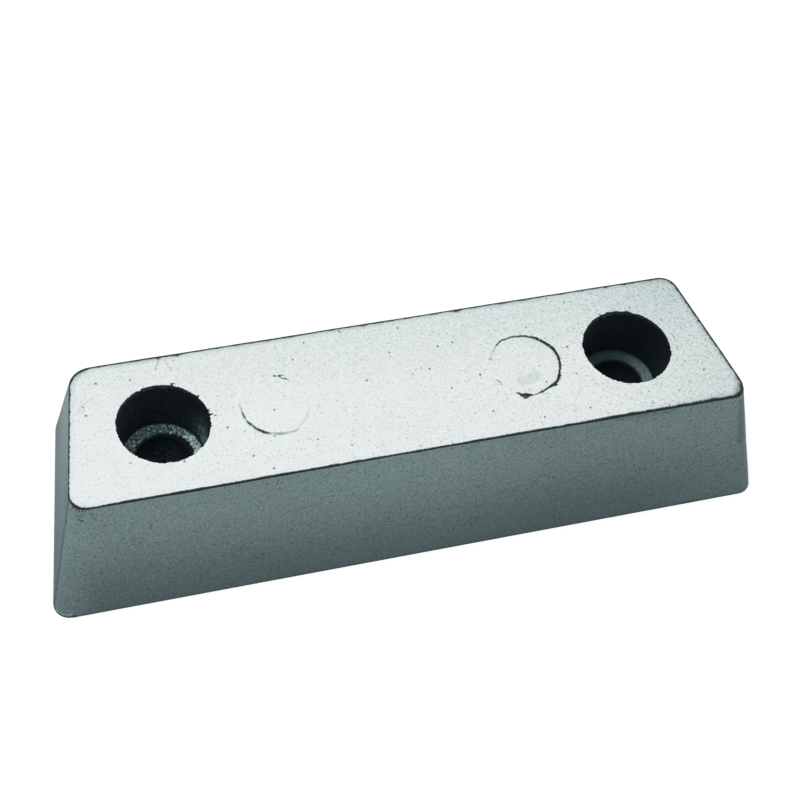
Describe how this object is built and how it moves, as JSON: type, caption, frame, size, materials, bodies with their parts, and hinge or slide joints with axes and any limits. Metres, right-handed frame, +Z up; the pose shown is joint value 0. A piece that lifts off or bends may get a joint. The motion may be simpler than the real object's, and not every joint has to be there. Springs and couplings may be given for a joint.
{
  "type": "sacrificial anode",
  "caption": "Drafted cast zinc bar, trapezoid in plan, with counterbored bolt holes near its ends; it bolts to a hull or engine bracket and corrodes in its place.",
  "frame": {"origin": "middle of the flat bottom face", "axes": "+X along the length, +Y towards the short side of the trapezoid, +Z up out of the counterbored face"},
  "size_m": [0.1536, 0.05, 0.0276],
  "materials": {
    "cast_zinc": "pale, matt as-cast zinc with a fine sandy grain"
  },
  "bodies": {
    "root": {"anode_casting": "cast_zinc"}
  },
  "joints": []
}
